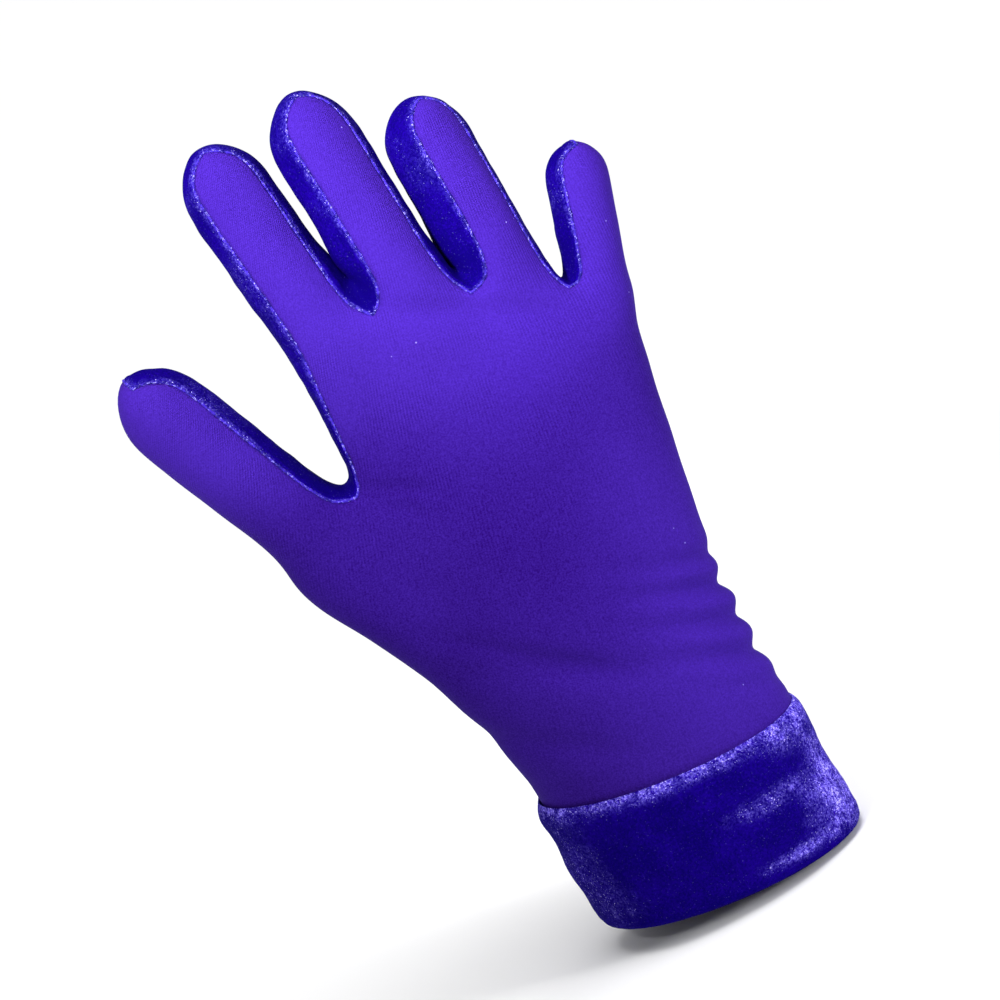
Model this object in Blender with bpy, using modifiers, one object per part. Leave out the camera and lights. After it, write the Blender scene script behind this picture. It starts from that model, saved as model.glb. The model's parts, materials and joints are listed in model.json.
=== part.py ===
"""A right-hand figure skating glove that keeps the shape of the hand in it, in metres.

The back and the palm are stretch fabric. A velvet gusset runs from the thumb's tip round the
fingers to the little finger's tip, and a folded velvet cuff closes round the wrist.
+Z runs from the wrist to the fingers, -Y is the back of the hand and the thumb is at -X.
The origin is the centre of the wrist opening, level with the cuff's folded edge.
"""

import math

import bmesh
import bpy
from mathutils import Vector

# Driving sizes
HAND_LENGTH = 0.1600  # cuff's edge to the root of the middle finger
FINGER_WIDTH = 0.0217  # across the middle finger
FINGER_DEPTH = 0.0205  # back to palm of the middle finger
FINGER_LENGTH = 0.0586  # root to tip of the middle finger
THUMB_WIDTH = 0.0224
THUMB_DEPTH = 0.0215
THUMB_LENGTH = 0.0628
WRIST_WIDTH = 0.0632
WRIST_DEPTH = 0.0430
PALM_WIDTH = 0.0760  # at the height of the thumb's web
PALM_DEPTH = 0.0330
KNUCKLE_DEPTH = 0.0250
PALM_SHIFT = 0.0048  # from the wrist's middle to the palm's, away from the thumb
KNUCKLE_SHIFT = 0.0067  # from the wrist's middle to the knuckles', away from the thumb
FABRIC_WALL = 0.0014
VELVET_WALL = 0.0016
SEAM_GAP = 0.0003  # between the edges of two panels
CUFF_HEIGHT = 0.0358
CUFF_FACING = 0.0240  # how far the cuff's inner layer reaches up inside the sleeve
CUFF_CLEARANCE = 0.0005  # between the cuff and the sleeve that stands between its layers
CUFF_SLANT = 0.0067  # how much lower the cuff sits on the little finger's side
FOLD_DEPTH = 0.0026
FOLD_REACH = 0.0030
FOLD_SLOPE = 0.5  # how steeply the wrist's folds rise towards the thumb

# Sides of the kinds of tube in the cage
FINGER_SIDES = 8
PALM_SIDES = 20
SLEEVE_SIDES = 24

# Fingers from the little finger's side. Width and pitch are shares of FINGER_WIDTH, depth of
# FINGER_DEPTH, length of FINGER_LENGTH, root of HAND_LENGTH and knuckle of KNUCKLE_DEPTH. Sink
# is how far the root lies towards the palm, as a share of FINGER_DEPTH. Lean, curl at the root
# and at the tip, roll, and the seams' angle from the finger's side are in degrees.
FINGERS = [
    dict(name="little", width=0.715, depth=0.76, pitch=0.715, length=0.611, root=0.885, knuckle=0.82,
         sink=0.10, lean=18.0, curl_root=4.0, curl_tip=20.0, roll=18.0, seam=45.0),
    dict(name="ring", width=1.100, depth=0.97, pitch=0.955, length=0.896, root=0.945, knuckle=0.98,
         sink=0.05, lean=-0.8, curl_root=4.0, curl_tip=24.0, roll=27.0, seam=62.0),
    dict(name="middle", width=1.030, depth=1.00, pitch=0.995, length=1.000, root=1.000, knuckle=1.00,
         sink=-0.05, lean=-3.1, curl_root=4.0, curl_tip=26.0, roll=15.0, seam=50.0),
    dict(name="index", width=1.010, depth=0.99, pitch=1.005, length=0.974, root=1.003, knuckle=0.98,
         sink=0.03, lean=-5.7, curl_root=4.0, curl_tip=24.0, roll=6.0, seam=46.0),
]
THUMB = dict(lean=-22.8, curl_root=2.0, curl_tip=12.0, roll=0.0, seam=46.0)
# The webs between neighbouring fingers, from the little finger's side: the height of the
# gusset's edge at the back, its middle and its edge at the palm, as shares of HAND_LENGTH, and
# how far the back edge is set off towards the little finger, as a share of FINGER_WIDTH
WEBS = [
    dict(back=0.913, middle=0.915, palm=0.915, offset=0.09),
    dict(back=0.980, middle=1.026, palm=1.008, offset=0.10),
    dict(back=1.025, middle=1.095, palm=1.055, offset=0.07),
]
KNUCKLE_CORNER = 0.72  # depth of the webs' edges, as a share of the knuckles' half depth
OUTER_CORNER = 0.10  # how far the outer seams lie inside the knuckles' ends, of FINGER_WIDTH
OUTER_DROP = 0.020  # how far the knuckles' ends lie under the outer fingers' roots, of HAND_LENGTH
WEB_LIFT = 0.015  # how far a finger's first ring stays above its webs, as a share of HAND_LENGTH
THUMB_WEB = dict(back=0.804, middle=0.806, palm=0.804)  # the same heights beside the thumb
THUMB_HEIGHT = 0.822  # where the thumb's upper side leaves the palm, as a share of HAND_LENGTH
THUMB_CORNER = 0.66  # depth of the thumb web's edges, as a share of the thumb's half depth
THUMB_DROP = 0.007  # how far the thumb's root lies under that
THUMB_ROOT = 1.17  # width of the thumb's root, as a share of THUMB_WIDTH
THUMB_OFFSET = 0.0020  # how far outside the palm's edge the thumb's upper side starts
# Stations of a finger: how far along, and its width, depth and roll there as shares of its own
STATIONS = [
    dict(along=0.10, wide=0.95, deep=1.04, rolled=0.8),
    dict(along=0.36, wide=0.98, deep=1.00, rolled=1.0),
    dict(along=0.68, wide=1.00, deep=0.95, rolled=1.0),
    dict(along=0.850, wide=0.99, deep=0.90, rolled=1.0),
]
PATH_STEPS = 40  # straight steps that a finger's curved middle line is made of
TIP_REACH = 1.075  # how far along the tip's middle lies
TIP_EDGE = 0.925  # how far along the gusset's edges cross the tip
TIP_SPREAD = 1.00  # how far they stand to the back and the palm, as a share of the half depth
# Rows of the sleeve: height as a share of the thumb web's; how far each edge has gone from the
# wrist's width to the palm's; how far the depth has gone; how much of the webbed ring's shape
# the row has taken; cage rows from here to the next
SLEEVE = [
    dict(height=0.000, to_thumb=0.00, to_palm=0.00, to_depth=0.00, webbed=0.00, rows=1),
    dict(height=0.285, to_thumb=0.01, to_palm=0.10, to_depth=0.00, webbed=0.00, rows=4),
    dict(height=0.445, to_thumb=0.13, to_palm=0.13, to_depth=0.12, webbed=0.00, rows=4),
    dict(height=0.610, to_thumb=0.34, to_palm=0.17, to_depth=0.35, webbed=0.10, rows=1),
    dict(height=0.705, to_thumb=0.51, to_palm=0.38, to_depth=0.50, webbed=0.25, rows=1),
    dict(height=0.800, to_thumb=0.68, to_palm=0.56, to_depth=0.62, webbed=0.45, rows=1),
    dict(height=0.895, to_thumb=0.87, to_palm=0.77, to_depth=0.80, webbed=0.70, rows=1),
]
PALM_ROWS = 3  # cage rows from the thumb's web to the knuckles
# Folds of the wrist: height as a share of HAND_LENGTH, place and spread across as shares of
# WRIST_WIDTH, depth and reach as shares of FOLD_DEPTH and FOLD_REACH. The first five pinch the
# edge on the little finger's side.
FOLDS = [
    dict(height=0.262, across=0.50, spread=0.22, depth=0.3, reach=0.9),
    dict(height=0.311, across=0.50, spread=0.26, depth=1.0, reach=1.0),
    dict(height=0.364, across=0.50, spread=0.26, depth=1.0, reach=1.0),
    dict(height=0.416, across=0.50, spread=0.26, depth=1.1, reach=1.0),
    dict(height=0.460, across=0.50, spread=0.24, depth=0.6, reach=0.9),
    dict(height=0.435, across=-0.20, spread=0.30, depth=0.6, reach=1.6),
    dict(height=0.330, across=-0.35, spread=0.25, depth=0.3, reach=1.4),
]
# The cuff's wall, up its outer layer: height as a share of CUFF_HEIGHT, and how far it stands
# off the sleeve as a share of its own wall
CUFF_ROWS = [
    dict(height=0.10, proud=0.05),
    dict(height=0.40, proud=0.45),
    dict(height=0.70, proud=0.30),
    dict(height=0.95, proud=0.70),
]

FABRIC = dict(name="stretch_fabric", colour=(0.105, 0.035, 0.62, 1.0), roughness=0.75)
VELVET = dict(name="velvet", colour=(0.055, 0.008, 0.50, 1.0), roughness=0.95)
BACK, PALM, GUSSET = range(3)


def mix(a, b, share):
    return a + (b - a) * share


def swell(sides):
    """How much wider a cage with this many sides is than the tube that it makes."""
    return 1 / (0.75 + 0.25 * math.cos(2 * math.pi / sides))


class Ring:
    """One ring of a tube: the middle of its right side, its back from right to left, the
    middle of its left side, and its palm from left to right."""

    def __init__(self, right, back, left, palm):
        self.right = right
        self.back = back
        self.left = left
        self.palm = palm

    def points(self):
        return [self.right, *self.back, self.left, *self.palm]

    def part(self, first, last, right, left):
        """The columns from first to last of the back, closed by a point on each side."""
        palm = self.palm[::-1][first : last + 1][::-1]
        return Ring(right, self.back[first : last + 1], left, palm)


def ring_of(points):
    across = len(points) // 2 - 1
    return Ring(points[0], points[1 : across + 1], points[across + 1], points[across + 2 :])


def oval(centre, side, back, half_width, half_depth, angles):
    """Points at these angles in degrees round an oval, from its side towards its back."""
    points = []
    for angle in angles:
        turn = math.radians(angle)
        reach = side * (math.cos(turn) * half_width) + back * (math.sin(turn) * half_depth)
        points.append(centre + reach)
    return points


def even_angles(sides):
    return [360.0 * i / sides for i in range(sides)]


def finger_angles(seam):
    """Eight columns, with the gusset's edges at the seams' angle."""
    return [0.0, seam, 90.0, 180.0 - seam, 180.0, 180.0 + seam, 270.0, 360.0 - seam]


X_AXIS = Vector((1, 0, 0))
BACKWARD = Vector((0, -1, 0))


def finger_rings(root, finger, width, depth, length):
    """The cage rings above a finger's root, and the three points that close its tip."""
    lean = math.radians(finger["lean"])
    path = [root.copy()]
    headings = []
    for i in range(PATH_STEPS + 4):
        curl = math.radians(mix(finger["curl_root"], finger["curl_tip"], i / PATH_STEPS))
        heading = Vector((math.sin(lean), 0, math.cos(lean))) * math.cos(curl)
        heading.y = math.sin(curl)
        headings.append(heading)
        path.append(path[-1] + heading * (length / PATH_STEPS))
    grow = swell(FINGER_SIDES)

    def frame(along, rolled):
        i = min(round(along * PATH_STEPS), PATH_STEPS + 3)
        heading = headings[i]
        side = (X_AXIS - heading * X_AXIS.dot(heading)).normalized()
        back = side.cross(heading)
        roll = math.radians(finger["roll"] * rolled)
        turned = side * math.cos(roll) - back * math.sin(roll)
        return path[i], turned, back * math.cos(roll) + side * math.sin(roll)

    rings = []
    for station in STATIONS:
        centre, side, back = frame(station["along"], station["rolled"])
        half_width = width * station["wide"] * grow / 2
        half_depth = depth * station["deep"] * grow / 2
        angles = finger_angles(finger["seam"])
        rings.append(ring_of(oval(centre, side, back, half_width, half_depth, angles)))
    end, _, _ = frame(TIP_REACH, 1.0)
    centre, side, back = frame(TIP_EDGE, 1.0)
    spread = back * (depth / 2 * TIP_SPREAD)
    return rings, [centre + spread, end, centre - spread]


def finger_layout():
    """Each finger's root point, and where across the hand the edges of the fingers lie."""
    pitches = [finger["pitch"] * FINGER_WIDTH for finger in FINGERS]
    right_edge = KNUCKLE_SHIFT + sum(pitches) / 2
    edges = [right_edge]
    for pitch in pitches:
        edges.append(edges[-1] - pitch)
    roots = []
    for finger, right, left in zip(FINGERS, edges, edges[1:]):
        sink = finger["sink"] * FINGER_DEPTH
        roots.append(Vector(((right + left) / 2, sink, finger["root"] * HAND_LENGTH)))
    return roots, edges


def knuckle_ring():
    """The ring where the palm ends and the fingers start, with the points of each web."""
    roots, edges = finger_layout()
    halves = [finger["knuckle"] * KNUCKLE_DEPTH / 2 for finger in FINGERS]
    back, palm, webs, outer = [], [], [], []
    for i, edge in enumerate(edges):
        beside = [n for n in (i - 1, i) if 0 <= n < len(roots)]
        corner = sum(halves[n] for n in beside) / len(beside) * KNUCKLE_CORNER
        sink = sum(roots[n].y for n in beside) / len(beside)
        if len(beside) == 2:
            web = WEBS[i - 1]
            set_off = web["offset"] * FINGER_WIDTH
            back.append(Vector((edge + set_off, sink - corner, web["back"] * HAND_LENGTH)))
            palm.append(Vector((edge, sink + corner, web["palm"] * HAND_LENGTH)))
            webs.append(Vector((edge, sink, web["middle"] * HAND_LENGTH)))
        else:
            height = roots[beside[0]].z - OUTER_DROP * HAND_LENGTH
            inward = OUTER_CORNER * FINGER_WIDTH * (1 if i else -1)
            back.append(Vector((edge + inward, sink - corner, height)))
            palm.append(Vector((edge + inward, sink + corner, height)))
            outer.append(Vector((edge, sink, height)))
        if i < len(roots):
            back.append(roots[i] + BACKWARD * halves[i])
            palm.append(roots[i] - BACKWARD * halves[i])
    return Ring(outer[0], back, outer[1], palm[::-1]), webs, roots


def webbed_ring():
    """The ring where the thumb leaves the palm, the middle of its web, and the thumb's root."""
    palm_centre = Vector((PALM_SHIFT, 0, THUMB_WEB["back"] * HAND_LENGTH))
    palm = ring_of(oval(
        palm_centre, X_AXIS, BACKWARD, PALM_WIDTH / 2, PALM_DEPTH / 2, even_angles(PALM_SIDES)
    ))
    lean = math.radians(THUMB["lean"])
    down_left = Vector((-math.cos(lean), 0, math.sin(lean)))
    web_back, web_middle, web_palm = [
        Vector((palm.left.x, 0, THUMB_WEB[end] * HAND_LENGTH)) for end in ("back", "middle", "palm")
    ]
    web_back.y = -THUMB_CORNER * THUMB_DEPTH / 2
    web_palm.y = THUMB_CORNER * THUMB_DEPTH / 2
    start = Vector((palm.left.x - THUMB_OFFSET, 0, THUMB_HEIGHT * HAND_LENGTH - THUMB_DROP))
    root = start + down_left * (THUMB_WIDTH / 2)
    half = THUMB_ROOT * THUMB_WIDTH / 2
    centre = root + down_left * (half - THUMB_WIDTH / 2)
    thumb = ring_of(oval(
        centre, -down_left, BACKWARD, half, THUMB_DEPTH / 2, finger_angles(THUMB["seam"])
    ))
    back = [*palm.back[:-1], web_back, thumb.back[1], thumb.back[2]]
    under = [thumb.palm[0], thumb.palm[1], web_palm, *palm.palm[1:]]
    return Ring(palm.right, back, thumb.left, under), web_middle, root


def sleeve_edges(row):
    """Left and right edge and half depth of the sleeve at a row of its table."""
    ring, _, _ = webbed_ring()
    left = mix(-WRIST_WIDTH / 2, ring.left.x, row["to_thumb"])
    right = mix(WRIST_WIDTH / 2, ring.right.x, row["to_palm"])
    return left, right, mix(WRIST_DEPTH, PALM_DEPTH, row["to_depth"]) / 2


def sleeve_end():
    """How far above the cuff's folded edge the sleeve ends."""
    return VELVET_WALL + 2 * CUFF_CLEARANCE


def sleeve_row_height(row):
    return mix(sleeve_end(), THUMB_WEB["back"] * HAND_LENGTH, row["height"])


def slant_share(height):
    """How much of the cuff's slant is left at this height: it fades out above the cuff."""
    return min(max(2 - height / CUFF_HEIGHT, 0), 1)


def slanted(point):
    """Lets the little finger's side down and the thumb's side up by the cuff's slant."""
    return point - Vector((0, 0, CUFF_SLANT * slant_share(point.z) * point.x / WRIST_WIDTH))


def sleeve_rings():
    """The cage's rings from the sleeve's end to the one below the thumb's web."""
    target, _, _ = webbed_ring()
    target_points = target.points()
    target_left, target_right = target.left.x, target.right.x
    target_height = THUMB_WEB["back"] * HAND_LENGTH
    grow = swell(SLEEVE_SIDES)
    rings = []
    last = dict(height=1.0, to_thumb=1.0, to_palm=1.0, to_depth=1.0, webbed=1.0, rows=0)
    for here, above in zip(SLEEVE, [*SLEEVE[1:], last]):
        for step in range(here["rows"]):
            row = {key: mix(here[key], above[key], step / here["rows"]) for key in last}
            left, right, half_depth = sleeve_edges(row)
            height = sleeve_row_height(row)
            centre = Vector(((left + right) / 2, 0, height))
            plain = oval(
                centre, X_AXIS, BACKWARD, grow * (right - left) / 2, grow * half_depth,
                even_angles(SLEEVE_SIDES),
            )
            points = []
            for point, aim in zip(plain, target_points):
                across = (aim.x - target_left) / (target_right - target_left)
                deep = aim.y * half_depth / (PALM_DEPTH / 2)
                rise = aim.z - target_height
                aimed = Vector((mix(left, right, across), deep, height + rise))
                points.append(slanted(point.lerp(aimed, row["webbed"])))
            rings.append(ring_of(points))
    return rings


def palm_rings(lower, upper):
    """Cage rings between the webbed ring's palm and the knuckles, both left out."""
    rings = []
    for step in range(1, PALM_ROWS):
        share = step / PALM_ROWS
        pairs = zip(lower.points(), upper.points())
        rings.append(ring_of([a.lerp(b, share) for a, b in pairs]))
    return rings


class Cage:
    """Collects the points and labelled faces of the glove's cage."""

    def __init__(self):
        self.mesh = bmesh.new()

    def ring(self, ring):
        return ring_of([self.mesh.verts.new(p) for p in ring.points()])

    def face(self, corners, label):
        self.mesh.faces.new(corners).material_index = label

    def tube(self, lower, upper, left_label, right_label):
        below, above = lower.points(), upper.points()
        count = len(below)
        half = count // 2
        labels = [BACK] * half + [PALM] * half
        labels[0] = labels[-1] = right_label
        labels[half - 1] = labels[half] = left_label
        for i, label in enumerate(labels):
            j = (i + 1) % count
            self.face([below[i], above[i], above[j], below[j]], label)

    def finger(self, root, rings, tip, left_label, right_label):
        """A finger from its root ring to its closed tip."""
        last = root
        for ring in rings:
            made = self.ring(ring)
            self.tube(last, made, left_label, right_label)
            last = made
        back, middle, palm = [self.mesh.verts.new(p) for p in tip]
        self.face([last.right, middle, back, last.back[0]], right_label)
        self.face([back, middle, last.left, last.back[2]], left_label)
        self.face([last.palm[2], palm, middle, last.right], right_label)
        self.face([palm, last.palm[0], last.left, middle], left_label)
        self.face([last.back[0], back, last.back[2], last.back[1]], BACK)
        self.face([last.palm[0], palm, last.palm[2], last.palm[1]], PALM)


def make_cage():
    """The whole glove but the cuff, as one labelled surface that is open at the wrist."""
    cage = Cage()
    webbed, thumb_web, thumb_centre = webbed_ring()
    rings = [cage.ring(r) for r in [*sleeve_rings(), webbed]]
    for lower, upper in zip(rings, rings[1:]):
        cage.tube(lower, upper, BACK, BACK)
    top = rings[-1]
    web = cage.mesh.verts.new(thumb_web)
    palm_columns = PALM_SIDES // 2 - 1
    palm_root = top.part(0, palm_columns - 1, top.right, web)
    thumb_root = top.part(palm_columns - 1, palm_columns + 1, web, top.left)
    thumb_rings, thumb_tip = finger_rings(
        thumb_centre, THUMB, THUMB_WIDTH, THUMB_DEPTH, THUMB_LENGTH
    )
    cage.finger(thumb_root, thumb_rings, thumb_tip, BACK, GUSSET)

    knuckles, webs, roots = knuckle_ring()
    lower_points = webbed.part(0, palm_columns - 1, webbed.right, thumb_web)
    last = palm_root
    for ring in [*palm_rings(lower_points, knuckles), knuckles]:
        made = cage.ring(ring)
        cage.tube(last, made, GUSSET, BACK)
        last = made
    web_points = [cage.mesh.verts.new(p) for p in webs]
    sides = [last.right, *web_points, last.left]
    for i, (finger, root) in enumerate(zip(FINGERS, roots)):
        finger_root = last.part(2 * i, 2 * i + 2, sides[i], sides[i + 1])
        width = finger["width"] * FINGER_WIDTH
        depth = finger["depth"] * FINGER_DEPTH
        made, tip = finger_rings(root, finger, width, depth, finger["length"] * FINGER_LENGTH)
        for side, web in ((made[0].right, sides[i]), (made[0].left, sides[i + 1])):
            side.z = max(side.z, web.co.z + WEB_LIFT * HAND_LENGTH)
        right_label = GUSSET if i else BACK
        cage.finger(finger_root, made, tip, GUSSET, right_label)
    bmesh.ops.recalc_face_normals(cage.mesh, faces=cage.mesh.faces)
    return cage.mesh


def subdivided(cage, levels):
    """The cage's smooth surface as a new bmesh."""
    mesh = bpy.data.meshes.new("cage")
    cage.to_mesh(mesh)
    cage.free()
    holder = bpy.data.objects.new("cage", mesh)
    bpy.context.scene.collection.objects.link(holder)
    smooth = holder.modifiers.new("smooth", "SUBSURF")
    smooth.levels = smooth.render_levels = levels
    graph = bpy.context.evaluated_depsgraph_get()
    surface = bmesh.new()
    surface.from_object(holder, graph)
    bpy.data.objects.remove(holder)
    bpy.data.meshes.remove(mesh)
    return surface


def fold(surface):
    """Presses the wrist's folds into the surface."""
    surface.normal_update()
    moved = {}
    for vertex in surface.verts:
        inward = 0.0
        for row in FOLDS:
            across = vertex.co.x - row["across"] * WRIST_WIDTH
            line = row["height"] * HAND_LENGTH - FOLD_SLOPE * across
            beside = across / (row["spread"] * WRIST_WIDTH)
            above = (slanted_back(vertex.co) - line) / (row["reach"] * FOLD_REACH)
            inward += row["depth"] * FOLD_DEPTH * math.exp(-(beside**2) - above**2)
        if inward > FOLD_DEPTH * 0.01:
            moved[vertex] = vertex.co - vertex.normal * inward
    for vertex, place in moved.items():
        vertex.co = place


def slanted_back(point):
    """A point's height, without what the slant of the cuff took from it."""
    return point.z + CUFF_SLANT * slant_share(point.z) * point.x / WRIST_WIDTH


def edge_shift(vertex, label):
    """Which way, along the surface, a panel's edge draws back from its seam at this vertex, and
    how much further in a corner so that both its edges keep their gap."""
    total = Vector()
    for edge in vertex.link_edges:
        inside = [f for f in edge.link_faces if f.material_index == label]
        if len(inside) != 1 or len(edge.link_faces) == 1:
            continue
        along = (edge.verts[1].co - edge.verts[0].co).normalized()
        across = inside[0].calc_center_median() - edge.verts[0].co
        total += (across - along * across.dot(along)).normalized()
    if total.length == 0:
        return total
    return total.normalized() * min(2 / total.length, 4.0)


def panel(surface, label, name, wall, material, collection):
    """One panel of the glove as a solid: the faces with this label, with a wall's thickness.
    The wall follows the whole surface's normals, so neighbouring panels have matching edges."""
    made = bmesh.new()
    outer, inner = {}, {}
    faces = [f for f in surface.faces if f.material_index == label]
    for face in faces:
        for vertex in face.verts:
            if vertex in outer:
                continue
            place = vertex.co + edge_shift(vertex, label) * (SEAM_GAP / 2)
            outer[vertex] = made.verts.new(place)
            inner[vertex] = made.verts.new(place - vertex.normal * wall)
    for face in faces:
        made.faces.new([outer[v] for v in face.verts])
        made.faces.new([inner[v] for v in reversed(face.verts)])
        for loop in face.loops:
            neighbours = [f for f in loop.edge.link_faces if f.material_index == label]
            if len(neighbours) == 1:
                rim(made, outer, inner, loop.vert, loop.link_loop_next.vert)
    return finish(made, name, material, collection)


def rim(made, outer, inner, a, b):
    """Closes a wall along one edge, cut into triangles the same way in both panels beside it."""
    if a.index < b.index:
        made.faces.new([outer[b], outer[a], inner[b]])
        made.faces.new([outer[a], inner[a], inner[b]])
    else:
        made.faces.new([outer[b], outer[a], inner[a]])
        made.faces.new([outer[b], inner[a], inner[b]])


def cuff_profile():
    """The cuff's section: how far each point stands off the sleeve's outer face, and its height."""
    wall, gap = VELVET_WALL, CUFF_CLEARANCE
    outside, inside = gap, -FABRIC_WALL - gap
    end = sleeve_end() - gap
    up_outer = [(outside + wall * (1 + row["proud"]), row["height"] * CUFF_HEIGHT) for row in CUFF_ROWS]
    lean = CUFF_ROWS[-1]["proud"] * wall
    down_outer = [
        (outside + lean + wall / 2, CUFF_HEIGHT),
        (outside + lean * 0.8, CUFF_ROWS[-1]["height"] * CUFF_HEIGHT),
        (outside, end),
    ]
    floor = [((outside + inside) / 2, wall)]
    up_inner = [(inside, end), (inside, CUFF_FACING - wall / 2)]
    down_inner = [
        (inside - wall / 2, CUFF_FACING),
        (inside - wall, CUFF_FACING - wall / 2),
        (inside - wall, end),
    ]
    middle = (outside + inside) / 2
    fold_edge = [(inside - wall * 0.6, wall * 0.25), (middle, 0.0), (outside + wall * 0.6, wall * 0.25)]
    return [*up_outer, *down_outer, *floor, *up_inner, *down_inner, *fold_edge]


def make_cuff(name, material, collection):
    """The folded band: one closed profile carried round the sleeve's outline."""
    left, right, half_depth = sleeve_edges(SLEEVE[0])
    sides = 2 * SLEEVE_SIDES
    made = bmesh.new()
    loops = []
    for stand_off, height in cuff_profile():
        centre = Vector(((left + right) / 2, 0, height))
        points = oval(
            centre, X_AXIS, BACKWARD, (right - left) / 2 + stand_off, half_depth + stand_off,
            even_angles(sides),
        )
        loops.append([made.verts.new(slanted(p)) for p in points])
    for lower, upper in zip(loops, [*loops[1:], loops[0]]):
        for i in range(sides):
            j = (i + 1) % sides
            made.faces.new([lower[i], upper[i], upper[j], lower[j]])
    bmesh.ops.recalc_face_normals(made, faces=made.faces)
    return finish(made, name, material, collection)


def finish(mesh_data, name, material, collection):
    mesh = bpy.data.meshes.new(name)
    mesh_data.to_mesh(mesh)
    mesh_data.free()
    made = bpy.data.objects.new(name, mesh)
    collection.objects.link(made)
    mesh.materials.append(material)
    mesh.shade_smooth()
    mesh.set_sharp_from_angle(angle=math.radians(50))
    return made


def make_material(look):
    material = bpy.data.materials.new(look["name"])
    material.use_nodes = True
    shader = material.node_tree.nodes["Principled BSDF"]
    shader.inputs["Base Color"].default_value = look["colour"]
    shader.inputs["Roughness"].default_value = look["roughness"]
    shader.inputs["Metallic"].default_value = 0.0
    return material


def main():
    for old in list(bpy.data.objects):
        bpy.data.objects.remove(old)
    collection = bpy.data.collections.new("skating_glove")
    bpy.context.scene.collection.children.link(collection)
    fabric, velvet = make_material(FABRIC), make_material(VELVET)
    surface = subdivided(make_cage(), 1)
    fold(surface)
    surface.normal_update()
    surface.verts.index_update()
    panel(surface, BACK, "back_panel", FABRIC_WALL, fabric, collection)
    panel(surface, PALM, "palm_panel", FABRIC_WALL, fabric, collection)
    panel(surface, GUSSET, "finger_gusset", VELVET_WALL, velvet, collection)
    surface.free()
    make_cuff("cuff", velvet, collection)


main()
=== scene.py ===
"""The looks of a right-hand figure skating glove, in metres, in the frame of its solids.

The fine surfaces are made from the same sizes and the same cage as the solids. The stretch
fabric gets its folds, its rib knit and its puckers, the velvet gets its pile, and a seam's
ridge with its thread runs along both edges of the gusset.
"""

import json
import math

import bmesh
import bpy
from mathutils import Matrix, Vector, kdtree, noise

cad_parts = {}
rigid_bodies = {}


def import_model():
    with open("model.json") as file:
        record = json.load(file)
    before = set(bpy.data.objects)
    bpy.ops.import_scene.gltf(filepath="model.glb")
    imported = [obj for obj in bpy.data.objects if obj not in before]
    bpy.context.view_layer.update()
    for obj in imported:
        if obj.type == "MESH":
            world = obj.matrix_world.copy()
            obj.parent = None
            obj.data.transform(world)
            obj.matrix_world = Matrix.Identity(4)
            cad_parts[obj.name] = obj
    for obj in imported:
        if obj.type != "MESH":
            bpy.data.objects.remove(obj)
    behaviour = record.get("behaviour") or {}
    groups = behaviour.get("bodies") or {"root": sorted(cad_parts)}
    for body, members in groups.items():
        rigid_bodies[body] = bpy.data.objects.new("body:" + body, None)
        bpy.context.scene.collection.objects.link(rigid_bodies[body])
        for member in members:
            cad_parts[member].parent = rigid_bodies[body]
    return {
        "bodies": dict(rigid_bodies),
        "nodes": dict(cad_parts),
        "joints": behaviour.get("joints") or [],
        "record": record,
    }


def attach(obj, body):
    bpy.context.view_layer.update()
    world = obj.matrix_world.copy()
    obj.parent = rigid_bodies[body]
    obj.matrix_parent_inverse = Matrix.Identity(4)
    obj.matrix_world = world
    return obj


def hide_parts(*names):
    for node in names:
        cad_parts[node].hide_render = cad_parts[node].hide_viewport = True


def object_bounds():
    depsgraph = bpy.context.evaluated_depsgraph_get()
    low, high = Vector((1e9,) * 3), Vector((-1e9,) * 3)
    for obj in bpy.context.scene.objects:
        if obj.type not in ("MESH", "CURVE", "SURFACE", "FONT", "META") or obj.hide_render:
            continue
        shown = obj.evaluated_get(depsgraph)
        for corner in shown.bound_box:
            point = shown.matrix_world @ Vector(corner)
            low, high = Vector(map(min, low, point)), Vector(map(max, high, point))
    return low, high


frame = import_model()
cad_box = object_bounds()


def table(columns, *rows):
    """The rows of a table, each with its values under the columns' names."""
    return [dict(zip(columns.split(), row)) for row in rows]


# Driving sizes
HAND_LENGTH = 0.1600  # cuff's edge to the root of the middle finger
FINGER_WIDTH = 0.0217  # across the middle finger
FINGER_DEPTH = 0.0205  # back to palm of the middle finger
FINGER_LENGTH = 0.0586  # root to tip of the middle finger
THUMB_WIDTH = 0.0224
THUMB_DEPTH = 0.0215
THUMB_LENGTH = 0.0628
WRIST_WIDTH = 0.0632
WRIST_DEPTH = 0.0430
PALM_WIDTH = 0.0760  # at the height of the thumb's web
PALM_DEPTH = 0.0330
KNUCKLE_DEPTH = 0.0250
PALM_SHIFT = 0.0048  # from the wrist's middle to the palm's, away from the thumb
KNUCKLE_SHIFT = 0.0067  # from the wrist's middle to the knuckles', away from the thumb
FABRIC_WALL = 0.0014
VELVET_WALL = 0.0016
SEAM_GAP = 0.0003  # between the edges of two panels
CUFF_HEIGHT = 0.0358
CUFF_FACING = 0.0240  # how far the cuff's inner layer reaches up inside the sleeve
CUFF_CLEARANCE = 0.0005  # between the cuff and the sleeve that stands between its layers
CUFF_SLANT = 0.0067  # how much lower the cuff sits on the little finger's side
FOLD_DEPTH = 0.0026
FOLD_REACH = 0.0030
FOLD_SLOPE = 0.5  # how steeply the wrist's folds rise towards the thumb

# Sides of the kinds of tube in the cage
FINGER_SIDES = 8
PALM_SIDES = 20
SLEEVE_SIDES = 24

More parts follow.
